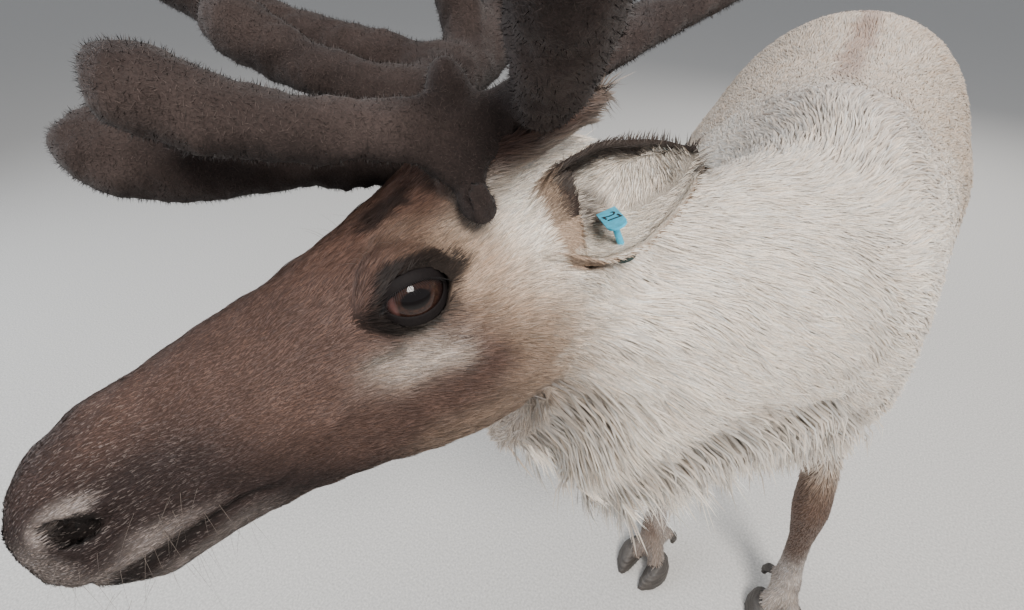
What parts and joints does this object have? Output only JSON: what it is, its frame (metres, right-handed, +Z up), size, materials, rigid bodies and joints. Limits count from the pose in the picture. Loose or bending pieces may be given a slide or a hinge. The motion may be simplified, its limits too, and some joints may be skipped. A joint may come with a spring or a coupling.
{
  "type": "reindeer",
  "caption": "Life-size still model of a standing reindeer, head low and turned to its right, antlers in velvet, pale body, brown face and a tag in the left ear.",
  "frame": {"origin": "on the ground under the middle of the model's box", "axes": "+Z up, +X to the animal's left, -Y the way its body faces"},
  "size_m": [0.7996, 1.7588, 1.491],
  "materials": {
    "coat": "matt",
    "head_coat": "matt",
    "leg_coat": "matt",
    "velvet": "matt",
    "horn": "satin",
    "eye": "polished",
    "tag_plastic": "satin",
    "tag_disc_plastic": "matt"
  },
  "bodies": {
    "root": {"claw_foreleg_left_outer": "horn", "dewclaw_foreleg_left_outer": "horn", "claw_foreleg_left_inner": "horn", "dewclaw_foreleg_left_inner": "horn", "claw_foreleg_right_outer": "horn", "dewclaw_foreleg_right_outer": "horn", "claw_foreleg_right_inner": "horn", "dewclaw_foreleg_right_inner": "horn", "claw_hindleg_left_outer": "horn", "dewclaw_hindleg_left_outer": "horn", "claw_hindleg_left_inner": "horn", "dewclaw_hindleg_left_inner": "horn", "claw_hindleg_right_outer": "horn", "dewclaw_hindleg_right_outer": "horn", "claw_hindleg_right_inner": "horn", "dewclaw_hindleg_right_inner": "horn", "torso": "coat", "tail": "coat", "foreleg_left": "leg_coat", "foreleg_right": "leg_coat", "hindleg_left": "leg_coat", "hindleg_right": "leg_coat", "neck": "coat", "head": "head_coat", "eye_left": "eye", "eye_right": "eye", "ear_left": "head_coat", "ear_right": "head_coat", "tag_plate": "tag_plastic", "tag_disc": "tag_disc_plastic", "antler_left_beam": "velvet", "antler_left_brow": "velvet", "antler_left_rise": "velvet", "antler_left_rear": "velvet", "antler_left_stub": "velvet", "antler_left_bud": "velvet", "antler_right_beam": "velvet", "antler_right_brow": "velvet", "antler_right_bez": "velvet", "antler_right_tine": "velvet", "antler_right_rise": "velvet", "antler_right_rear": "velvet"}
  },
  "joints": []
}
